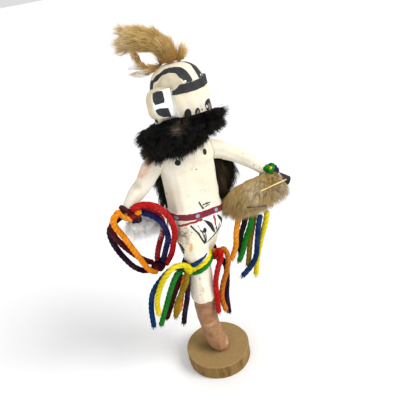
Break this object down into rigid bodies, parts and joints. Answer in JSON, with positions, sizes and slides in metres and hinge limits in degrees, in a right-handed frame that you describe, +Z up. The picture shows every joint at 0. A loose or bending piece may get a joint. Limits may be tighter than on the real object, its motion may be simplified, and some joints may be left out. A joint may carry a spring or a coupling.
{
  "type": "carved kachina doll",
  "caption": "Carved, painted wooden kachina doll in a dancing pose on a sawn disc, with a case mask, fur collar and plume, and yarn at its hands and knees.",
  "frame": {"origin": "centre of the disc's underside", "axes": "+Z up, the trunk faces -Y, and the figure's right hand is at -X"},
  "size_m": [0.1456, 0.0831, 0.3068],
  "materials": {
    "sawn_wood": "sawn, bare and dry, with growth rings and a stained rim",
    "white_paint": "matt cream-white paint on carved wood, worn and speckled",
    "charcoal_paint": "matt charcoal paint on carved wood",
    "black_fur": "long black fur on hide",
    "tan_fur": "tan and golden fur on hide",
    "white_fluff": "white down",
    "pale_stick": "bare split stick",
    "black_stick": "matt black paint",
    "red_yarn": "twisted wool yarn",
    "navy_yarn": "twisted wool yarn",
    "crimson_yarn": "twisted wool yarn",
    "orange_yarn": "twisted wool yarn",
    "maroon_yarn": "twisted wool yarn",
    "plum_yarn": "twisted wool yarn",
    "blue_yarn": "twisted wool yarn",
    "yellow_yarn": "twisted wool yarn",
    "green_yarn": "twisted wool yarn",
    "olive_yarn": "twisted wool yarn",
    "black_yarn": "twisted wool yarn"
  },
  "bodies": {
    "root": {"base_disc": "sawn_wood", "body": "white_paint", "right_arm": "white_paint", "left_arm": "white_paint", "mask_head": "white_paint", "right_ear_tab": "charcoal_paint", "left_ear_tab": "charcoal_paint", "fur_collar": "black_fur", "back_fur": "black_fur", "crest_plume": "tan_fur", "pale_stick": "pale_stick", "black_stick": "black_stick", "right_wrist_wrap": "crimson_yarn", "right_hand_fluff": "white_fluff", "left_hand_fur": "tan_fur", "hoop_knot": "maroon_yarn", "left_wrist_wrap": "green_yarn", "right_knee_tie": "yellow_yarn", "left_knee_tie": "maroon_yarn", "hoop_yarn_red": "red_yarn", "hoop_yarn_navy": "navy_yarn", "hoop_yarn_crimson": "crimson_yarn", "hoop_yarn_orange": "orange_yarn", "hoop_yarn_maroon": "maroon_yarn", "hoop_yarn_plum": "plum_yarn", "knee_yarn_blue": "blue_yarn", "knee_yarn_yellow": "yellow_yarn", "knee_yarn_green": "green_yarn", "knee_yarn_olive": "olive_yarn", "knee_yarn_maroon": "maroon_yarn", "knee_yarn_orange": "orange_yarn", "knee_yarn_plum": "plum_yarn", "shin_yarn_red": "red_yarn", "shin_yarn_orange": "orange_yarn", "shin_yarn_plum": "plum_yarn", "hand_yarn_orange": "orange_yarn", "hand_yarn_black": "black_yarn", "hand_yarn_green": "green_yarn", "hand_yarn_olive": "olive_yarn", "hand_yarn_navy": "navy_yarn", "hand_yarn_yellow": "yellow_yarn"}
  },
  "joints": []
}
